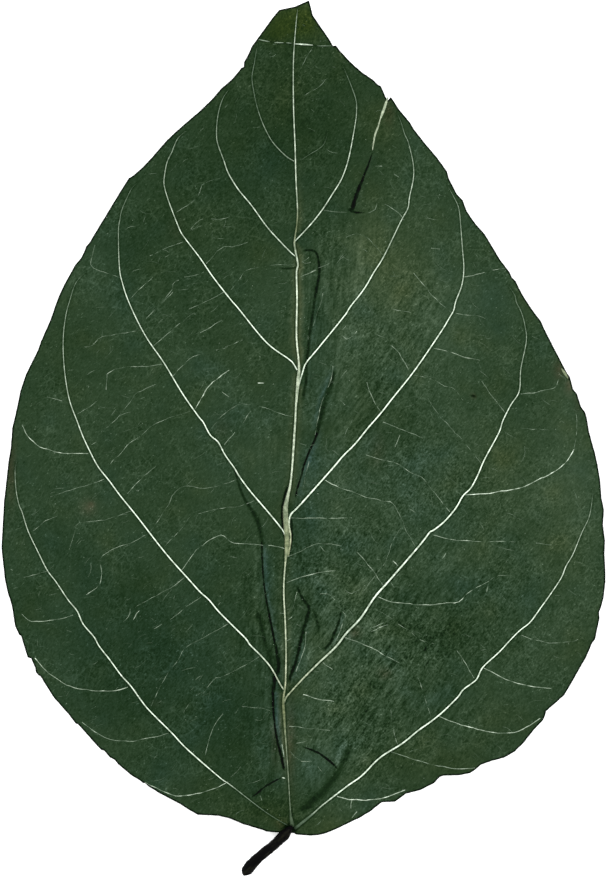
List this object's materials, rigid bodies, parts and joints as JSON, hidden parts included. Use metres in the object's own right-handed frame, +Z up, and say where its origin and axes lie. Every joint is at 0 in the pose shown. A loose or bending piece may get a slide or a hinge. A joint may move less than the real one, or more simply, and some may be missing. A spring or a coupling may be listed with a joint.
{
  "type": "dried coral tree leaf",
  "caption": "Pressed and dried dark green heart-shaped leaflet with pale raised ribs, a torn slit and a short black stalk.",
  "frame": {"origin": "under the middle of the leaf's bounding box, on the surface that it lies on", "axes": "+Y along the midrib towards the tip, +Z up out of the leaf's upper face, +X to the right as the face is seen"},
  "size_m": [0.1028, 0.1489, 0.0028],
  "materials": {
    "blade": "dry, satin, dark green leaf skin with cream ribs",
    "stalk": "shrivelled, near black, dull bark"
  },
  "bodies": {
    "root": {"leaf_blade": "blade", "leaf_stalk": "stalk"}
  },
  "joints": []
}
